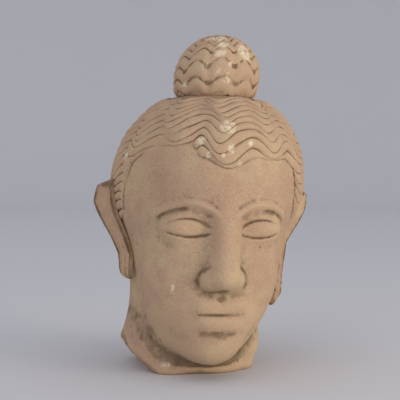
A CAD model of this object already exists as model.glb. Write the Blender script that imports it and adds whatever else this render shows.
"""The looks of a sandstone head of a Buddha that was broken off at the neck and stands on the break.

The CAD solid is one stone, and so is the piece that replaces it here. The head, the topknot and the ears
are surfaces of two parameters, worked out with numpy and joined into one closed skin, which is then
weathered: worn, pitted, chipped and dirtied. All of the carving is worked out in millimetres in the
head's own upright frame; `placed` leans it as it stands, and the finished stone is scaled to metres.
"""
import math

import bpy
import numpy as np
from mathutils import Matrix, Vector


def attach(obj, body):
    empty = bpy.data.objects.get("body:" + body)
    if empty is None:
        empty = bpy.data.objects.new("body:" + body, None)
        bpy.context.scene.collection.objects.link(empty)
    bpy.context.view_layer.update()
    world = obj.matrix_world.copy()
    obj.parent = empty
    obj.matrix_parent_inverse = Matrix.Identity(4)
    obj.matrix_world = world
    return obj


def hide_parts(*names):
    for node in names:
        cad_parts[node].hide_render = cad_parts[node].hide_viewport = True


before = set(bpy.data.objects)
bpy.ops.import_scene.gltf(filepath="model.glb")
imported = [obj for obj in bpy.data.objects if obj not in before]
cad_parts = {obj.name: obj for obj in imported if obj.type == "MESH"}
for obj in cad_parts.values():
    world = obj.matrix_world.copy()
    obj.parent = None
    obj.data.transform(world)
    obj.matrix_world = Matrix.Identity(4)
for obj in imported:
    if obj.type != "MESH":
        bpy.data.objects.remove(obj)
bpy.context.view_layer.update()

# ---------------------------------------------------------------- driving sizes, in millimetres
MM = 0.001
LEAN = math.radians(2)  # the head is turned this much towards +X...
SHEAR = math.tan(math.radians(4))  # ...and each level of it lies this much further over
FOOT = 6.0  # the break is cut at this height of the head's own frame

CORE_LOW, CORE_HIGH, CORE_Y = 28.0, 122.0, 4.0  # the upright axis that the head's rays leave from
CORE_R = 72.0  # nominal radius of the head, which turns an arc length into an angle
CORE_LENGTH = CORE_HIGH - CORE_LOW
CAP_ARC = CORE_R * math.pi / 2

STRAND_PITCH = 6.0  # from one lock of hair to the next
STRAND_TOP = 176.0  # arc length at which the locks start, under the topknot
HAIR_THICK = 2.4  # how far the hair stands off the skin
GROOVE_DEPTH = 3.3  # of the deepest cuts between two locks
WAVES = 12  # waves round the head
WAVE_HEIGHT = 3.4  # of a wave, above and below its middle
WAVE_TURN = math.radians(-5)  # the middle wave dips this far to the side
WAVE_SPREAD = 3.5  # near the topknot, this many of the front's waves have gone round to the back
HAIR_TILT = 8.0  # the locks lie this much higher at the front than at the sides, and lower at the back
PEAK_DROP = 3.0  # the locks dip by this much over the middle of the forehead
DRIFT = 1.7  # how far a lock strays up or down on its way
# Where the hair is rubbed thin over a temple: the angle round from the front and its spread, in degrees,
# and how many locks up from the hairline, and their spread.
THIN_TEMPLE = (-50, 18, 0.8, 2.2)
# The hairline: the angle round from the front in degrees, and the arc length that it lies at there.
HAIRLINE = np.array([
    (-180, 54), (-130, 57), (-110, 63), (-90, 76), (-76, 88), (-72, 106), (-67, 121),
    (-56, 128), (-37, 131), (-23, 128), (-17, 118), (4, 116), (20, 121), (37, 121),
    (46, 115), (50, 98), (58, 86), (90, 76), (110, 63), (130, 57), (180, 54)])

KNOT_MIDDLE = (0.0, 6.0, 213.0)
KNOT_RADII = (29.5, 30.0)  # across, and front to back
KNOT_ABOVE, KNOT_BELOW = 28.5, 40.0  # its height above its middle, and its depth below
KNOT_BASE = 197  # a groove runs round the topknot at this height
KNOT_THICK = 1.6  # how far the topknot's locks stand out, and how deep that groove is
KNOT_LOCKS = 7  # from its top down to its middle
KNOT_WAVES = 10  # waves round it
KNOT_TURN = math.radians(-6)  # its middle wave stands this far to the side

EAR_LENGTH, EAR_THICK = 85.0, 2.9
EAR_SUNK = 1.5  # how far the root of an ear lies inside the head
EAR_Y, EAR_SLOPE = 2.0, 12.0  # where an ear's root starts, and how much further forward a whole lobe ends
EAR_FLARE = math.radians(45)  # an ear stands this far out from pointing straight back
# An ear's width, by the share of the way from its top to the end of a whole lobe.
EAR_WIDTH = np.array([(0, 4), (0.06, 15), (0.2, 20), (0.45, 16), (0.7, 11.5), (0.9, 10.5), (1, 5)])

# The grids: columns round a form, and rows up it.
HEAD_COLUMNS, ROWS_TO_A_LOCK, SKIN_ROW, CROWN_ROWS = 380, 7, 3.2, 13
HAIR_LOWEST = STRAND_TOP - 24 * STRAND_PITCH  # arc length under which the head's rows stand SKIN_ROW apart
KNOT_COLUMNS, KNOT_ROWS = 168, 70
EAR_COLUMNS, EAR_ROWS = 52, 56

PIT_COUNT = 700  # small pits scattered over the stone

# ---------------------------------------------------------------- small maths, on whole arrays


def smooth(low, high, x):
    """0 below low, 1 above high, and between them 3t^2 - 2t^3, where t is the share of the way."""
    t = np.clip((x - low) / (high - low), 0, 1)
    return t * t * (3 - 2 * t)


def bump(x, width):
    """A bell: e to the minus (x / width) squared."""
    return np.exp(-((x / width) ** 2))


def length(v):
    """Root of the sum of the squares along the last axis."""
    return np.sqrt(np.einsum("...i,...i->...", v, v))


def point(x, y, z):
    """Points from arrays, or numbers, of x, y and z."""
    return np.stack(np.broadcast_arrays(x, y, z), -1)


LATTICE = 32
LATTICE_VALUES = np.random.default_rng(11).random((LATTICE, LATTICE, LATTICE)) * 2 - 1


def noise(p, grain, layer=0.0):
    """Value noise from -1 to 1: random values on a cubic lattice grain mm apart, blended by 3t^2 - 2t^3."""
    q = p / grain + layer * 7.31
    cell = np.floor(q).astype(int)
    share = q - cell
    share = share * share * (3 - 2 * share)
    total = np.zeros(p.shape[:-1])
    for corner in np.ndindex(2, 2, 2):
        weight = np.prod(np.where(np.array(corner) == 1, share, 1 - share), axis=-1)
        at = (cell + corner) % LATTICE
        total += weight * LATTICE_VALUES[at[..., 0], at[..., 1], at[..., 2]]
    return total


def rough(p, grain, layer=0.0, octaves=3):
    """Noise at grain, plus half as much at half the grain, and so on."""
    return sum(noise(p, grain / 2**k, layer + k) / 2**k for k in range(octaves))


# ---------------------------------------------------------------- forms: distance to a surface, minus inside


def ellipsoid(p, middle, radii, roll=0.0):
    """n (n - 1) / g, where n = |q / r| and g = |q / r^2|, with q the point p seen from the middle and
    rolled about Y."""
    q = p - np.asarray(middle, float)
    if roll:
        c, s = math.cos(roll), math.sin(roll)
        q = point(c * q[..., 0] + s * q[..., 2], q[..., 1], c * q[..., 2] - s * q[..., 0])
    r = np.asarray(radii, float)
    near = length(q / r)
    return near * (near - 1) / np.maximum(length(q / (r * r)), 1e-9)


def cone(p, a, b, radius_a, radius_b):
    """Distance to the line from a to b, less a radius that runs from radius_a to radius_b."""
    a, b = np.asarray(a, float), np.asarray(b, float)
    t = np.clip((p - a) @ (b - a) / ((b - a) @ (b - a)), 0, 1)
    return length(p - a - t[..., None] * (b - a)) - (radius_a + (radius_b - radius_a) * t)


def join(a, b, k):
    """The lesser of the two, less h^2 k / 4, where h runs from 0 where they are k apart to 1 where
    they are equal."""
    h = np.maximum(k - np.abs(a - b), 0) / k
    return np.minimum(a, b) - h * h * k / 4


def cut(a, b, k):
    """a with b taken out of it, the edge rounded over k."""
    return -join(-a, b, k)


def mirrored(p):
    """Both sides folded onto +X."""
    return point(np.abs(p[..., 0]), p[..., 1], p[..., 2])


# ---------------------------------------------------------------- the stone of the head


def skull(p, m):
    """Cranium, face block, jaw, nape and cheeks as ellipsoids run into each other."""
    d = ellipsoid(p, (1.5, 10, 137), (67, 80, 67))
    d = join(d, ellipsoid(p, (0, -15, 88), (44, 57, 72)), 20)
    d = join(d, ellipsoid(p, (0, -34, 50), (35, 38, 34)), 18)
    d = join(d, ellipsoid(p, (0, 26, 82), (46, 46, 44)), 24)
    return join(d, ellipsoid(m, (20, -40, 76), (24, 25, 30)), 16)


def neck(p):
    """An oval column that flares at its foot and stops inside the skull."""
    x, y, z = p[..., 0], p[..., 1], p[..., 2]
    flare = bump(z - 4, 26)
    d = (np.hypot(x / (46 + 8 * flare), (y - 8 + 0.06 * z) / (46 + 3 * flare)) - 1) * 45
    return cut(d, 70 - z, 20)


def incised(d, across, off, reach, width, depth):
    """d, with a line cut into it: depth times a bell of the distance off the line, faded out towards its
    reach on both sides. A depth below 0 raises a ridge."""
    return d + depth * bump(off, width) * smooth(1.0, 0.7, np.abs(across) / reach)


def brows(d, p, m):
    """A hollowed socket under a fine ridge: a parabola that springs from the nose and runs out at the
    temple."""
    front = smooth(-35, -50, p[..., 1])
    d = cut(d, ellipsoid(m, (24.5, -82, 109.5), (19, 15.5, 12), -0.1), 6)
    across = m[..., 0] - 25
    arch = 125 - 0.021 * across**2
    return incised(d, across, m[..., 2] - arch, 24, 2.8, -1.7 * front)


def eyes(d, p, m):
    """The ball under a heavy lid, with the line between the lids and the fold above as parabolas across
    the eye."""
    front = smooth(-40, -50, p[..., 1])
    across = m[..., 0] - 24.5
    d = join(d, ellipsoid(m, (24.5, -54.3, 108.0), (16.5, 13.2, 11.5)), 5)
    lid = 102.8 + 0.013 * across**2 + 0.02 * across
    d = d - 0.7 * front * smooth(0, 1.6, m[..., 2] - lid) * bump(m[..., 2] - lid - 3, 5) * bump(across, 13)
    d = incised(d, across, m[..., 2] - lid, 15.5, 0.95, 1.2 * front)
    fold = 114.5 - 0.022 * across**2 + 0.05 * across
    return incised(d, across, m[..., 2] - fold, 17, 1.3, 0.7 * front)


def nose(d, p, m):
    """A straight ridge on a broad wedge, a rounded end, and soft wings."""
    d = join(d, cone(p, (0, -61, 118), (0, -72, 77), 6, 12), 9)
    d = join(d, cone(p, (0, -66, 121), (0, -82.5, 80), 6, 6.4), 9)
    d = join(d, ellipsoid(p, (0, -83, 77.5), (7.4, 8.2, 6.6)), 6)
    return join(d, ellipsoid(m, (9, -76.2, 75), (5, 7.6, 5.4)), 4.5)


def mouth(d, p, m):
    """The chin, the mound, the groove under the nose, and two full lips that meet in a fine line."""
    front = smooth(-50, -60, p[..., 1])
    d = join(d, ellipsoid(p, (0, -62, 32), (17, 13.5, 14)), 14)
    d = join(d, ellipsoid(p, (0, -63, 53), (24, 13, 15)), 12)
    d = cut(d, cone(p, (0, -83.2, 67), (0, -81, 62), 2, 2.8), 4)
    d = join(d, ellipsoid(m, (5.5, -73.4, 56.8), (11.5, 5.4, 4.4), 0.2), 5)
    d = join(d, ellipsoid(p, (0, -73.6, 48.8), (13, 6.2, 5.2)), 5)
    parting = 53.0 + 0.008 * m[..., 0] ** 2 - 0.5 * bump(m[..., 0], 3.5)
    d = incised(d, m[..., 0], p[..., 2] - parting, 18, 1.1, 1.6 * front)
    return d + 0.3 * front * bump(m[..., 0] - 18, 3) * bump(p[..., 2] - 56, 3)


def over_and_up(p):
    """Where the point's x and z come to when the head leans: sheared by SHEAR, turned by LEAN and let
    down by FOOT."""
    sheared = p[..., 0] + SHEAR * p[..., 2]
    c, s = math.cos(LEAN), math.sin(LEAN)
    return c * sheared + s * p[..., 2], c * p[..., 2] - s * sheared - FOOT


# The oval on which the rim's chips lie: half its width and depth, and its middle's y.
RIM_WIDE, RIM_DEEP, RIM_Y = 60, 58, 6
# Chips knocked out of the rim of the break: the way round it in degrees, height, and radius.
RIM_CHIPS = [
    (-58, 14, 9), (-34, 8, 7), (-12, 5, 5), (16, 6, 6), (38, 9, 8), (61, 15, 9), (84, 22, 8), (112, 18, 10),
    (140, 9, 9), (166, 8, 11), (-168, 10, 8), (-141, 15, 12), (-112, 21, 9), (-84, 24, 8)]


def break_under(p):
    """Flat where it stands, and outside that the highest of four slopes, made uneven by sines and rough
    by noise."""
    y = p[..., 1]
    across, up = over_and_up(p)
    uneven = 2 * np.sin(0.16 * y + 1) + 1.5 * np.sin(0.11 * across + 2)
    chips = np.maximum.reduce([
        1.1 * (-across - 28 + uneven),
        1.9 * (across - 40 + uneven),
        0.8 * (y - 40 + uneven),
        0.9 * (np.minimum(-y, 46) - 40 + uneven)])
    chips = chips + 2.2 * rough(p, 11, 3) * smooth(-2, 6, chips)
    return (np.maximum(chips, 0) - up) * 0.7


def head(p):
    """The skull with its neck, face and break."""
    m = mirrored(p)
    d = join(skull(p, m), neck(p), 9)
    d = brows(d, p, m)
    d = eyes(d, p, m)
    d = nose(d, p, m)
    d = mouth(d, p, m)
    d = np.maximum(d, break_under(p))
    for angle, height, radius in RIM_CHIPS:
        turn = math.radians(angle)
        middle = (RIM_WIDE * math.sin(turn), RIM_Y - RIM_DEEP * math.cos(turn), height - 2)
        d = cut(d, ellipsoid(p, middle, (radius * 1.3, radius * 1.3, radius)), 0.8)
    return d


# ---------------------------------------------------------------- rays and grids


def aim(theta, rise):
    """A direction at the angle theta round from the front, and rise up."""
    return point(np.sin(theta) * np.cos(rise), -np.cos(theta) * np.cos(rise), np.sin(rise))


def cast(form, start, way, far, steps=32):
    """The ray start + t way, with t stepped from far inwards by 0.9 of the form's distance."""
    t = np.full(way.shape[:-1], float(far))
    for _ in range(steps):
        t = np.clip(t - 0.9 * form(start + way * t[..., None]), 0, far)
    return start + way * t[..., None]


def outward(form, p):
    """The form's slope at p, by differences over 0.15 mm each way, made one long."""
    steps = np.eye(3) * 0.15
    n = np.stack([form(p + e) - form(p - e) for e in steps], -1)
    return n / np.maximum(length(n), 1e-9)[..., None]


def quads(rows, columns):
    """Faces of a grid that closes round its columns, each a b c d with c and d a row up."""
    row, column = np.meshgrid(np.arange(rows - 1), np.arange(columns), indexing="ij")
    beside = (column + 1) % columns
    corners = [row * columns + column, row * columns + beside]
    corners += [(row + 1) * columns + beside, (row + 1) * columns + column]
    return np.stack(corners, -1).reshape(-1, 4)


def closed_mesh(name, grid):
    """A mesh of a grid of points (rows, columns, 3), whose first and last rows are closed by fans to
    their middles."""
    rows, columns = grid.shape[:2]
    ends = np.array([grid[0].mean(0), grid[-1].mean(0)])
    vertices = np.concatenate([grid.reshape(-1, 3), ends])
    around = np.arange(columns)
    beside = (around + 1) % columns
    low = np.stack([beside, around, np.full(columns, rows * columns)], -1)
    last = (rows - 1) * columns
    high = np.stack([last + around, last + beside, np.full(columns, rows * columns + 1)], -1)
    faces = quads(rows, columns).tolist() + low.tolist() + high.tolist()
    mesh = bpy.data.meshes.new(name)
    mesh.from_pydata(vertices.tolist(), [], faces)
    piece = bpy.data.objects.new(name, mesh)
    bpy.context.scene.collection.objects.link(piece)
    return piece


# ---------------------------------------------------------------- the carved surfaces


def lock_height(place):
    """A lock's section from its groove (0) over its back (1) to the next groove, with the back a little
    nearer to the groove above."""
    part = (place - np.floor(place)) ** 0.85
    return 1 - np.abs(2 * part - 1) ** 3.6


def wear_of(p):
    """From 0 where the locks are rubbed almost smooth to 1 where they are crisp."""
    return np.clip(0.62 + 0.75 * noise(p, 24, 5) + 0.25 * noise(p, 9, 6), 0.12, 1)


def head_surface(theta, arc):
    """Each ray's arc length is tilted over the head, dips at the middle and waves, so that rows follow
    the locks. Where it leaves the stone, the point moves out along the normal by the hair's height."""
    place = (STRAND_TOP - arc) / STRAND_PITCH
    inside = (arc - np.interp(np.degrees(theta), HAIRLINE[:, 0], HAIRLINE[:, 1])) / STRAND_PITCH
    waved = smooth(-1.2, 1.2, inside) * smooth(-0.5, 1, place)
    tilt = HAIR_TILT * np.cos(theta) * smooth(20, 110, arc) * (1 - smooth(140, 185, arc))
    peak = PEAK_DROP * bump(theta, 0.19) * smooth(90, 115, arc) * (1 - smooth(120, 165, arc))
    drum = point(CORE_R * np.sin(theta), -CORE_R * np.cos(theta), arc)
    sway = 0.45 * np.sin(1.1 * place + 3 * np.sin(2 * theta)) + 0.45 * noise(drum, 17, 3)
    spread = WAVE_SPREAD * (1 - smooth(0, 9, place)) * np.sin(theta)
    phase = WAVES * (theta - WAVE_TURN) - spread + sway * smooth(0, 2, place)
    tall = 1.15 + 0.3 * bump(theta - WAVE_TURN, 0.35) + 0.2 * np.sin(0.9 * place + 2 * theta)
    tall = WAVE_HEIGHT * tall * (1 + 0.25 * noise(drum, 21, 2))
    wave = tall * (np.cos(phase) + 0.15 * np.cos(2 * phase + 1)) * waved
    drift = DRIFT * noise(drum, 12, 9) * waved
    aimed = arc + tilt - peak - wave + drift
    rise = (np.minimum(aimed, 0) + np.maximum(aimed - CORE_LENGTH, 0)) / CORE_R
    start = point(0, CORE_Y, CORE_LOW + np.clip(aimed, 0, CORE_LENGTH))
    p = cast(head, start, aim(theta, rise), 150)
    n = outward(head, p)
    haired = smooth(-0.25, 0.15, inside) * smooth(-0.2, 0.4, place)
    angle, angle_spread, locks, lock_spread = THIN_TEMPLE
    temple = 1 - 0.8 * bump(np.degrees(theta) - angle, angle_spread) * bump(inside - locks, lock_spread)
    crisp = wear_of(p) * temple
    flank = -np.sin(phase) * np.tanh(4 * theta)
    grooved = GROOVE_DEPTH * (0.15 + 0.85 * crisp) * (0.62 + 0.38 * flank)
    tuft = 0.8 * np.cos(phase) * waved
    thin = 0.5 + 0.5 * smooth(0, 2, inside)
    height = (HAIR_THICK * (0.5 + 0.5 * temple) + tuft) * thin - grooved * (1 - lock_height(place))
    return p + n * (haired * height)[..., None]


def knot_form(p):
    """An ellipsoid that is taller above its middle than below."""
    up = p[..., 2] > KNOT_MIDDLE[2]
    radii = point(KNOT_RADII[0], KNOT_RADII[1], np.where(up, KNOT_ABOVE, KNOT_BELOW))
    q = p - np.array(KNOT_MIDDLE)
    near = length(q / radii)
    return near * (near - 1) / np.maximum(length(q / radii**2), 1e-9)


def knot_surface(theta, rise):
    """The topknot's form, with locks that stand in columns of arches and are rubbed away low down at the
    front, and a groove under them where the topknot meets the head."""
    place = (1 - rise / (math.pi / 2)) * KNOT_LOCKS
    haired = smooth(-0.7, -0.35, rise) * smooth(0, 1.2, place)
    tilt = 0.5 * np.cos(rise) * np.cos(theta) * smooth(-0.5, 0.4, rise)
    phase = KNOT_WAVES * (theta - KNOT_TURN) + math.pi + 0.3 * np.sin(2.1 * place + theta)
    valley = bump(np.cos(phase) - 1, 0.35)
    wave = (0.075 * np.cos(phase) + 0.02 * valley) * haired * smooth(0.3, 2.5, place)
    start = np.broadcast_to(np.array(KNOT_MIDDLE), theta.shape + (3,))
    p = cast(knot_form, start, aim(theta, rise + tilt - wave), 60)
    n = outward(knot_form, p)
    worn = 1 - 0.75 * smooth(7.4, 8.6, place) * bump(theta, 1.1)
    crisp = worn * (0.6 + 0.4 * wear_of(p + 40))
    cut_in = 2.2 * (1 - lock_height(place)) * (1 - 0.35 * bump(np.cos(phase) + 1, 0.5)) + 0.8 * valley
    height = haired * (KNOT_THICK - crisp * cut_in) - KNOT_THICK * bump(p[..., 2] - KNOT_BASE, 1.6)
    return p + n * height[..., None]


def ear_surface(part, turn, side, top, share, hang):
    """A thin section carried down a line that lies on the head: part runs along it, and turn round the
    section. The section is as wide as EAR_WIDTH says, flares back and out, and has a rim, a hollow and a
    long plain lobe. The line stays at least hang mm out, so that a lobe hangs clear of the jaw."""
    down = part * share
    y = EAR_Y - EAR_SLOPE * down
    z = top - EAR_LENGTH * down
    wall = cast(head, point(0, y, z), np.broadcast_to((1.0, 0, 0), part.shape + (3,)), 120)[..., 0]
    taper = np.sqrt(np.clip(1 - (2 * part - 1) ** 12, 0, 1))
    width = np.interp(down, EAR_WIDTH[:, 0], EAR_WIDTH[:, 1]) * taper
    across = (1 + np.cos(turn)) / 2
    rim = bump(across - 0.88, 0.11) + 0.7 * bump(across - 0.12, 0.1) + 0.9 * bump(down - 0.05, 0.035)
    hollow = bump(across - 0.5, 0.25) * smooth(0.02, 0.15, down) * (1 - smooth(0.5, 0.7, down))
    groove = bump(across - 0.62, 0.1) * smooth(0.45, 0.6, down) * (1 - smooth(0.85, 0.98, down))
    relief = (1.3 * rim - 2.0 * hollow - 0.8 * groove) * np.clip(2 * np.sin(turn), 0, 1)
    out = (EAR_THICK * np.sin(turn) + relief) * taper
    x = np.maximum(wall - EAR_SUNK, hang) + math.sin(EAR_FLARE) * width * across + math.cos(EAR_FLARE) * out
    y = y + math.cos(EAR_FLARE) * width * across - math.sin(EAR_FLARE) * out
    return point(side * x, y, z)


def head_piece():
    """The head's grid: its underside, its skin up to the hair, the hair at even steps and the crown under
    the topknot, in columns that stand closer over the face."""
    turn = np.arange(HEAD_COLUMNS) * 2 * math.pi / HEAD_COLUMNS - math.pi
    theta = turn - 0.35 * np.sin(turn)
    foot = -CAP_ARC * (1 - np.linspace(0.03, 0.5, 9) ** 1.5)
    skin = np.arange(-68, HAIR_LOWEST, SKIN_ROW)
    hair = np.arange(HAIR_LOWEST + 0.1, STRAND_TOP, STRAND_PITCH / ROWS_TO_A_LOCK)
    crown = np.linspace(STRAND_TOP, CORE_LENGTH + CAP_ARC, CROWN_ROWS + 1)[:-1]
    arc = np.concatenate([foot, skin, hair, crown])
    return closed_mesh("head_grid", head_surface(*np.meshgrid(theta, arc)))


def knot_piece():
    """The topknot's grid, from its underside inside the head to its top."""
    theta = np.arange(KNOT_COLUMNS) * 2 * math.pi / KNOT_COLUMNS
    rise = np.linspace(-1.45, 1.54, KNOT_ROWS)
    return closed_mesh("knot_grid", knot_surface(*np.meshgrid(theta, rise)))


def ear_piece(side, top, share, hang):
    """One ear's grid, from its top at the height top down to its lobe, or to where the lobe broke off:
    share is how much of a whole ear's length is left."""
    turn = np.arange(EAR_COLUMNS) * 2 * math.pi / EAR_COLUMNS * side
    part = np.concatenate([[0.004, 0.012], np.linspace(0.025, 0.975, EAR_ROWS), [0.988, 0.996]])[::-1]
    columns, rows = np.meshgrid(turn, part)
    return closed_mesh("ear_grid", ear_surface(rows, columns, side, top, share, hang))


# ---------------------------------------------------------------- joining and weathering the skin


def joined(pieces):
    """The pieces in one closed skin, by a boolean union that is applied."""
    stone = pieces[0]
    for other in pieces[1:]:
        union = stone.modifiers.new("union", "BOOLEAN")
        union.operation = "UNION"
        union.solver = "MANIFOLD"
        union.object = other
    bpy.context.view_layer.update()
    solid = bpy.data.meshes.new_from_object(stone.evaluated_get(bpy.context.evaluated_depsgraph_get()))
    for piece in pieces:
        bpy.data.objects.remove(piece)
    whole = bpy.data.objects.new("stone_head_carved", solid)
    bpy.context.scene.collection.objects.link(whole)
    return whole


def places_of(mesh):
    """The mesh's vertices as an array."""
    flat = np.empty(len(mesh.vertices) * 3)
    mesh.vertices.foreach_get("co", flat)
    return flat.reshape(-1, 3)


def normals_of(mesh):
    """The mesh's vertex normals as an array."""
    flat = np.empty(len(mesh.vertices) * 3, dtype=np.float32)
    mesh.vertex_normals.foreach_get("vector", flat)
    return flat.reshape(-1, 3).astype(float)


def put(mesh, places):
    """Moves the mesh's vertices to the places."""
    mesh.vertices.foreach_set("co", places.ravel())
    mesh.update()


def relaxed(mesh, places, times):
    """The places after each has moved, that many times, halfway to the mean of its neighbours."""
    ends = np.empty(len(mesh.edges) * 2, dtype=int)
    mesh.edges.foreach_get("vertices", ends)
    a, b = ends.reshape(-1, 2).T
    count = np.maximum(np.bincount(np.concatenate([a, b]), minlength=len(places)), 1)[:, None]
    for _ in range(times):
        around = np.zeros_like(places)
        for axis in range(places.shape[1]):
            around[:, axis] = np.bincount(a, places[b, axis], len(places))
            around[:, axis] += np.bincount(b, places[a, axis], len(places))
        places = (places + around / count) / 2
    return places


def pits(p, middles, radius, depth):
    """Depth of round hollows: for each middle, depth times 1 - (distance / radius)^2, where that is
    above 0."""
    total = np.zeros(len(p))
    for middle, r, d in zip(middles, radius, depth):
        near = np.flatnonzero(np.abs(p - middle).max(1) < r)
        fall = 1 - np.sum((p[near] - middle) ** 2, axis=1) / r**2
        total[near] = np.maximum(total[near], d * np.clip(fall, 0, 1))
    return total


def weathered(mesh):
    """Moves every vertex along its normal by low waves of wear, sandy unevenness and scattered pits,
    which are smaller and shallower at the front. The break is rougher, and what stands stays flat."""
    p, n = places_of(mesh), normals_of(mesh)
    rng = np.random.default_rng(5)
    middles = p[rng.integers(0, len(p), PIT_COUNT)]
    front = middles[:, 1] < -20
    radius = rng.uniform(0.8, 1.4, PIT_COUNT) * np.where(front, 0.75, 1.2)
    depth = rng.uniform(0.05, 0.3, PIT_COUNT) * np.where(front, 0.7, 1)
    sunk = pits(p, middles, radius, depth)
    fracture = smooth(2.5, -1, break_edge(p))
    out = 0.25 * rough(p, 16, 1) + 0.10 * rough(p, 3.2, 2, 2) - sunk + fracture * 0.5 * rough(p, 5, 4)
    stands = break_floor(p)
    put(mesh, p + n * (out * (1 - stands))[:, None])


def break_edge(p):
    """How far a point stands above the surface of the break, in mm."""
    return -break_under(p) / 0.7


def break_floor(p):
    """1 on the flat that the stone stands on, falling to 0 at 1 mm above it."""
    return 1 - smooth(0.2, 1.0, over_and_up(p)[1])


def hollowness(mesh, times):
    """How far each vertex lies below the mean of its surroundings, in mm: above 0 in a hollow."""
    p = places_of(mesh)
    return np.einsum("ij,ij->i", relaxed(mesh, p, times) - p, normals_of(mesh))


def keep(mesh, name, values):
    """Stores a value for each vertex under a name that the material reads."""
    layer = mesh.attributes.new(name, "FLOAT", "POINT")
    layer.data.foreach_set("value", np.asarray(values, dtype=np.float32))


# Lime that still sticks to the stone: angle round from the front in degrees, height up the head,
# half of its width and half of its height.
LIME = [
    (-3, 176, 5.4, 3.9), (-18, 166, 2.9, 2.5), (-13, 157, 1.9, 2.5), (-5, 157, 1.3, 1.9),
    (-1, 162, 2.1, 3.3), (4, 152, 1.8, 1.4), (11, 166, 1.8, 2.1), (-101, 157, 3, 3.2),
    (-74, 154, 2.2, 3.3), (-24, 69, 1.4, 2.1), (-100, 136, 4, 2.4), (-98, 108, 2.6, 3),
    (100, 130, 3, 4.2), (-30, 12, 3.5, 1.3)]
KNOT_LIME = [
    (-18, 239, 8.5, 1.8), (-7, 234, 5, 1.5), (-12, 228, 5.4, 1.8), (31, 230, 6, 5.5), (4, 222, 1.6, 2.6),
    (-5, 214.5, 6.8, 1.0), (0, 209, 2.6, 1.9), (-60, 205, 2.6, 2.3), (-28, 219, 0.9, 1.4)]


def lime_on(p):
    """1 on the patches of lime: ovals on the stone, their edges eaten by noise."""
    total = np.zeros(len(p))
    for patches, middle in ((LIME, (0, CORE_Y)), (KNOT_LIME, KNOT_MIDDLE[:2])):
        away = p[:, :2] - middle
        theta = np.arctan2(away[:, 0], -away[:, 1])
        reach = length(away)
        for angle, height, wide, tall in patches:
            across = (theta - math.radians(angle)) * reach
            oval = np.hypot(across / wide, (p[:, 2] - height) / tall)
            total = np.maximum(total, smooth(1.15, 0.75, oval + 0.35 * noise(p, 2.6, 8)))
    return total


def carved_stone():
    """The whole stone: joined, weathered, marked for the material, leaned and scaled to metres."""
    whole = joined([head_piece(), knot_piece(), ear_piece(1, 135, 1.0, 53), ear_piece(-1, 138, 0.83, 49)])
    mesh = whole.data
    weathered(mesh)
    p = places_of(mesh)
    fine, broad = hollowness(mesh, 6), hollowness(mesh, 60)
    keep(mesh, "groove", np.clip(fine / 0.28, -1, 1))
    keep(mesh, "hollow", np.clip(broad / 1.4, -1, 1))
    keep(mesh, "lime", lime_on(p))
    keep(mesh, "fracture", smooth(1.5, -0.5, break_edge(p)))
    put(mesh, placed(p))
    mesh.polygons.foreach_set("use_smooth", np.ones(len(mesh.polygons), dtype=bool))
    return whole


def placed(p):
    """Leaned, lowered onto the break and turned to metres."""
    across, up = over_and_up(p)
    return point(across, p[:, 1], up) * MM


# ---------------------------------------------------------------- materials


def linear(hex_colour, alpha=1.0):
    """An sRGB hex colour as linear red, green, blue and alpha."""
    srgb = [int(hex_colour[i : i + 2], 16) / 255 for i in (1, 3, 5)]
    return [c / 12.92 if c <= 0.04045 else ((c + 0.055) / 1.055) ** 2.4 for c in srgb] + [alpha]


def node(tree, kind, links=(), **settings):
    """Adds a node: settings are its properties, or its inputs where the name is an input's, and links are
    (input, output socket) pairs."""
    made = tree.nodes.new(kind)
    for name, value in settings.items():
        label = name.replace("_", " ")
        if hasattr(made, name):
            setattr(made, name, value)
        else:
            made.inputs[label.title() if label.title() in made.inputs else label].default_value = value
    for socket, output in links:
        tree.links.new(output, made.inputs[socket])
    return made


def new_material(name):
    """An empty material with a Principled shader: its tree and its shader."""
    material = bpy.data.materials.new(name)
    material.use_nodes = True
    return material, material.node_tree, material.node_tree.nodes["Principled BSDF"]


def blend(tree, mode, factor, below, above):
    """Two colours mixed; factor, below and above are each a socket or a plain value."""
    mix = node(tree, "ShaderNodeMix", data_type="RGBA", blend_type=mode)
    for index, value in ((0, factor), (6, below), (7, above)):
        if isinstance(value, bpy.types.NodeSocket):
            tree.links.new(value, mix.inputs[index])
        else:
            mix.inputs[index].default_value = value
    return mix.outputs[2]


def ramp(tree, value, low, high, out_low=0.0, out_high=1.0):
    """The value from low to high stretched to run from out_low to out_high, and held there outside."""
    stretch = node(tree, "ShaderNodeMapRange", [(0, value)])
    for index, number in ((1, low), (2, high), (3, out_low), (4, out_high)):
        stretch.inputs[index].default_value = number
    return stretch.outputs[0]


def spots(tree, where, size_mm, detail=2.0, rough_share=0.5):
    """Noise whose features are about size_mm across, from 0 to 1."""
    made = node(
        tree, "ShaderNodeTexNoise", [("Vector", where)],
        scale=1 / (size_mm * MM), detail=detail, roughness=rough_share)
    return made.outputs["Fac"]


def math_node(tree, operation, *values):
    """The sum, difference or product of sockets and numbers."""
    made = node(tree, "ShaderNodeMath", operation=operation)
    for index, value in enumerate(values):
        if isinstance(value, bpy.types.NodeSocket):
            tree.links.new(value, made.inputs[index])
        else:
            made.inputs[index].default_value = value
    return made.outputs[0]


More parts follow.
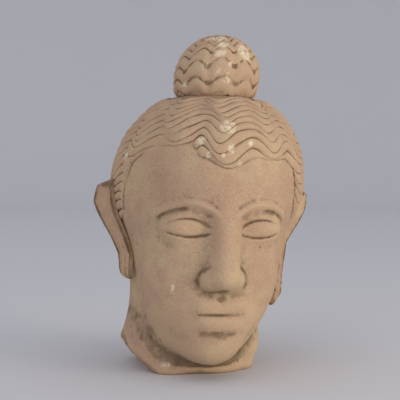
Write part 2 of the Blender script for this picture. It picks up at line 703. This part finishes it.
def weathered_sandstone():
    """Fine-grained sandstone, carved, handled and once limewashed: matt and sandy, pinkish brown where it is
    rubbed and greyer where it is not, with greenish-brown dirt in the cuts and crumbs of white lime."""
    material, tree, shader = new_material("weathered_sandstone")
    where = node(tree, "ShaderNodeTexCoord").outputs["Object"]
    marks = {
        name: node(tree, "ShaderNodeAttribute", attribute_name=name).outputs["Fac"]
        for name in ("groove", "hollow", "lime", "fracture")}

    # The stone's own colour: clouds some 45 mm across, smaller ones of 9 mm, and its sand.
    clouds = ramp(tree, spots(tree, where, 45), 0.35, 0.65)
    colour = blend(tree, "MIX", clouds, linear("#b5987f"), linear("#c1aa89"))
    patches = ramp(tree, spots(tree, where, 9, 3.0), 0.4, 0.7, 0, 0.45)
    colour = blend(tree, "MIX", patches, colour, linear("#b08d76"))
    sand = ramp(tree, spots(tree, where, 1.1, 3.0, 0.7), 0.3, 0.7, 0.84, 1.14)
    colour = blend(tree, "MULTIPLY", 1.0, colour, sand)

    # Dark grains and small holes, about 1.4 mm apart at most.
    grain = node(tree, "ShaderNodeTexVoronoi", [("Vector", where)], scale=1 / (1.9 * MM))
    dots = math_node(
        tree, "MULTIPLY",
        ramp(tree, grain.outputs["Distance"], 0.16, 0.26, 1, 0),
        ramp(tree, spots(tree, where, 13), 0.46, 0.62))
    colour = blend(tree, "MIX", math_node(tree, "MULTIPLY", dots, 0.42), colour, linear("#75604c"))

    # Edges are rubbed lighter, and hollows hold dirt.
    rubbed = ramp(tree, marks["groove"], -0.75, -0.1, 0.45, 0)
    colour = blend(tree, "MIX", rubbed, colour, linear("#c4a98a"))
    dirt = math_node(
        tree, "MULTIPLY",
        ramp(tree, marks["groove"], 0.16, 0.65),
        ramp(tree, spots(tree, where, 14), 0.3, 0.6, 0.45, 1))
    colour = blend(tree, "MIX", math_node(tree, "MULTIPLY", dirt, 0.85), colour, linear("#5c4933"))
    shade = ramp(tree, marks["hollow"], 0.1, 1.0, 0, 0.3)
    colour = blend(tree, "MIX", shade, colour, linear("#7c674b"))

    # The break shows the stone's inside, a little redder. Lime lies over all.
    inside = math_node(tree, "MULTIPLY", marks["fracture"], 0.35)
    colour = blend(tree, "MIX", inside, colour, linear("#a57f63"))
    crumbs = ramp(tree, spots(tree, where, 2.2, 3.0), 0.36, 0.52)
    lime = math_node(tree, "MULTIPLY", marks["lime"], crumbs)
    colour = blend(tree, "MIX", lime, colour, linear("#dccfb4"))
    tree.links.new(colour, shader.inputs["Base Color"])

    shader.inputs["Roughness"].default_value = 0.93
    shader.inputs["Specular IOR Level"].default_value = 0.25

    # Relief too fine for the mesh: sand 0.9 mm across, and the holes.
    sandy = spots(tree, where, 0.9, 4.0, 0.65)
    height = math_node(tree, "SUBTRACT", sandy, math_node(tree, "MULTIPLY", dots, 0.8))
    bump_node = node(tree, "ShaderNodeBump", [("Height", height)], strength=0.55, distance=0.35 * MM)
    tree.links.new(bump_node.outputs["Normal"], shader.inputs["Normal"])
    return material


def grey_paper():
    """Seamless photographic paper: an even, matt, cool grey."""
    material, tree, shader = new_material("grey_backdrop_paper")
    shader.inputs["Base Color"].default_value = linear("#d4d5d9")
    shader.inputs["Roughness"].default_value = 0.95
    shader.inputs["Specular IOR Level"].default_value = 0.1
    return material


# ---------------------------------------------------------------- the piece

stone = carved_stone()
stone.data.materials.clear()
stone.data.materials.append(weathered_sandstone())
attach(stone, "root")
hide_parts("stone_head")

# ---------------------------------------------------------------- floor, light and camera
CAMERA_AZIMUTH, CAMERA_RISE = -12, 3  # degrees round from the front, and up
CAMERA_LENS = 100
VIEW_WIDTH = 0.2864  # metres across the picture at the object
AIM_RIGHT, AIM_HEIGHT = 0.0086, 0.118  # metres from the origin to the middle of the picture


def paper_bowl(flat, bend, wall):
    """Paper turned round Z: level out to flat, a quarter circle of radius bend, and then upright by wall."""
    turn = np.linspace(0, math.pi / 2, 25)
    reach = np.concatenate([[0.001], flat + bend * np.sin(turn), [flat + bend]])
    height = np.concatenate([[0], bend - bend * np.cos(turn), [bend + wall]])
    around = np.linspace(0, 2 * math.pi, 128, endpoint=False)[None, :]
    grid = point(reach[:, None] * np.cos(around), reach[:, None] * np.sin(around), height[:, None])
    rows, columns = grid.shape[:2]
    mesh = bpy.data.meshes.new("paper")
    mesh.from_pydata(grid.reshape(-1, 3).tolist(), [], quads(rows, columns).tolist())
    mesh.polygons.foreach_set("use_smooth", np.ones(len(mesh.polygons), dtype=bool))
    mesh.materials.append(grey_paper())
    bowl = bpy.data.objects.new("paper", mesh)
    bpy.context.scene.collection.objects.link(bowl)
    return bowl


def toward(azimuth, rise):
    """The direction of azimuth degrees round from the front, to +X, and rise degrees up."""
    a, e = math.radians(azimuth), math.radians(rise)
    return Vector((math.sin(a) * math.cos(e), -math.cos(a) * math.cos(e), math.sin(e)))


def soft_box(name, azimuth, rise, distance, size, power, colour):
    """A square area light that looks at the middle of the head."""
    lamp = bpy.data.lights.new(name, "AREA")
    lamp.size = size
    lamp.energy = power
    lamp.color = linear(colour)[:3]
    holder = bpy.data.objects.new(name, lamp)
    bpy.context.scene.collection.objects.link(holder)
    middle = Vector((0, 0, AIM_HEIGHT))
    way = toward(azimuth, rise)
    holder.location = middle + way * distance
    holder.rotation_euler = (-way).to_track_quat("-Z", "Y").to_euler()


def camera():
    """A long lens at the height of the face, a little to the head's right side."""
    lens = bpy.data.cameras.new("camera")
    lens.lens = CAMERA_LENS
    holder = bpy.data.objects.new("camera", lens)
    bpy.context.scene.collection.objects.link(holder)
    back = toward(CAMERA_AZIMUTH, CAMERA_RISE)
    right = toward(CAMERA_AZIMUTH + 90, 0)
    target = right * AIM_RIGHT + Vector((0, 0, AIM_HEIGHT))
    holder.location = target + back * VIEW_WIDTH * CAMERA_LENS / lens.sensor_width
    holder.rotation_euler = (-back).to_track_quat("-Z", "Y").to_euler()
    bpy.context.scene.camera = holder


paper_bowl(1.9, 0.9, 1.0)
camera()
soft_box("key", 45, 4, 1.3, 0.6, 11, "#fff3e2")
soft_box("fill", -45, 8, 1.6, 1.2, 7, "#fdf0f2")

world = bpy.data.worlds.new("studio")
world.use_nodes = True
world.node_tree.nodes["Background"].inputs["Color"].default_value = linear("#f8f9ff")
world.node_tree.nodes["Background"].inputs["Strength"].default_value = 0.7
bpy.context.scene.world = world
bpy.context.scene.view_settings.view_transform = "Standard"
